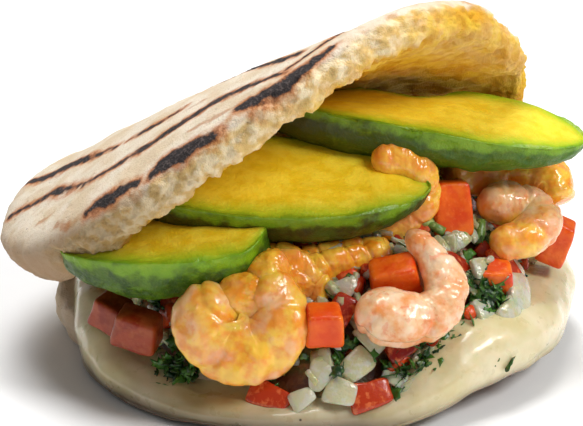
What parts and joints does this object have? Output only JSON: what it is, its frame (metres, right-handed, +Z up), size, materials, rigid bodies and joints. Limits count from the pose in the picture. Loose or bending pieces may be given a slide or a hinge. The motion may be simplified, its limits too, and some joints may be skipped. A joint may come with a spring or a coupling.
{
  "type": "stuffed arepa corn cake",
  "caption": "Grilled white corn cake split along its front and opened like a clam, filled with soft cheese, chopped salsa, shrimp, tomato and avocado slices.",
  "frame": {"origin": "centre of the bounding box at the underside of the lower half, on the table", "axes": "+X to the right, the long way of the raised upper half; +Y from the open mouth to the hinge at the back; +Z up"},
  "size_m": [0.1388, 0.1158, 0.0909],
  "materials": {
    "corn_bread": "matt pale corn dough with browned and charred grill stripes",
    "cheese": "smooth soft fresh cheese, satin and slightly translucent",
    "salsa": "wet chopped onion, tomato and herbs",
    "avocado": "moist flesh, yellow inside to dark green at the peeled side",
    "shrimp": "cooked pink and white flesh glazed with a thin orange sauce",
    "tomato": "wet cut tomato, bright orange red"
  },
  "bodies": {
    "root": {"arepa_bread": "corn_bread", "cheese_slab": "cheese", "salsa_heap": "salsa", "avocado_left": "avocado", "avocado_middle": "avocado", "avocado_right": "avocado", "shrimp_front_left": "shrimp", "shrimp_front_right": "shrimp", "shrimp_left": "shrimp", "shrimp_middle": "shrimp", "shrimp_centre": "shrimp", "shrimp_right": "shrimp", "shrimp_back": "shrimp", "tomato_front": "tomato", "tomato_inner": "tomato", "tomato_middle": "tomato", "tomato_right": "tomato", "tomato_left": "tomato", "tomato_front_left": "tomato", "tomato_deep": "tomato"}
  },
  "joints": []
}
